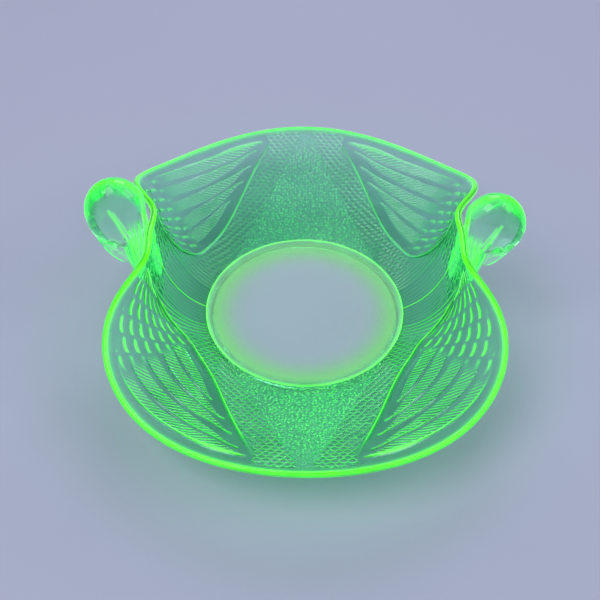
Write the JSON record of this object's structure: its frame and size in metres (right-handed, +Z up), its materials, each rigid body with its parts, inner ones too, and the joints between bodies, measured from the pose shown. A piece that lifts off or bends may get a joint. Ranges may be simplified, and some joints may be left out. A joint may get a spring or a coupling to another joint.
{
  "type": "uranium glass dish",
  "caption": "Footed pressed uranium glass bowl with a pinched saddle rim, feathered wings, stippled panels and a swan's head on each side.",
  "frame": {"origin": "middle of the circle that the foot ring stands on, at the table's height", "axes": "+Z up; X runs through the two swans, with +X to the right-hand swan seen from the front; Y runs through the two low middles of the rim, with the front at -Y"},
  "size_m": [0.2544, 0.2846, 0.1004],
  "materials": {
    "wall_glass": "gloss",
    "panel_glass": "gloss",
    "floor_glass": "gloss",
    "rim_glass": "gloss",
    "swan_glass": "gloss"
  },
  "bodies": {
    "root": {"floor_disc": "floor_glass", "foot_ring": "rim_glass", "front_panel": "panel_glass", "back_panel": "panel_glass", "rim_front": "rim_glass", "rim_back": "rim_glass", "flank_front_left": "wall_glass", "wing_rib_front_left": "rim_glass", "wing_front_left": "wall_glass", "flank_front_right": "wall_glass", "wing_rib_front_right": "rim_glass", "wing_front_right": "wall_glass", "flank_back_left": "wall_glass", "wing_rib_back_left": "rim_glass", "wing_back_left": "wall_glass", "flank_back_right": "wall_glass", "wing_rib_back_right": "rim_glass", "wing_back_right": "wall_glass", "breast_left": "wall_glass", "swan_neck_left": "swan_glass", "swan_head_left": "swan_glass", "breast_right": "wall_glass", "swan_neck_right": "swan_glass", "swan_head_right": "swan_glass"}
  },
  "joints": []
}
